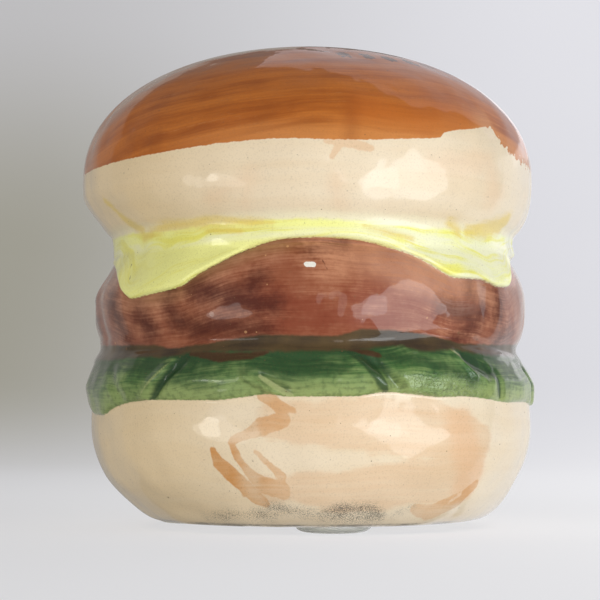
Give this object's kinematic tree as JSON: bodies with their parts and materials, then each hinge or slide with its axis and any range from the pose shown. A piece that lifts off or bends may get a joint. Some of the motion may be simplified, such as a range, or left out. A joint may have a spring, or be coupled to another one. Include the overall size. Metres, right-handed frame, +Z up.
{
  "type": "novelty coin bank",
  "caption": "Hollow glazed ceramic cheeseburger coin bank with a slot through the crown, a pull-out stopper in the underside and domed foot pads.",
  "frame": {"origin": "on the surface that the pads stand on, under the middle of the casting", "axes": "+Z up through the coin slot, -Y towards the front, +X to the right; the slot runs along X"},
  "size_m": [0.121, 0.121, 0.1273],
  "materials": {
    "painted_glaze": "hand-painted underglaze in sienna, cream, yellow, red-brown and green under a clear gloss glaze",
    "soft_vinyl": "translucent soft vinyl, satin",
    "clear_pad": "clear soft polyurethane, glossy dome"
  },
  "bodies": {
    "casting": {"ceramic_body": "painted_glaze", "foot_pad_front": "clear_pad", "foot_pad_right": "clear_pad", "foot_pad_left": "clear_pad"},
    "plug": {"stopper": "soft_vinyl"}
  },
  "joints": [
    {"name": "stopper_pull", "type": "slide", "parent": "casting", "child": "plug", "axis": [0, 0, -1], "range_m": [0, 0.03]}
  ]
}
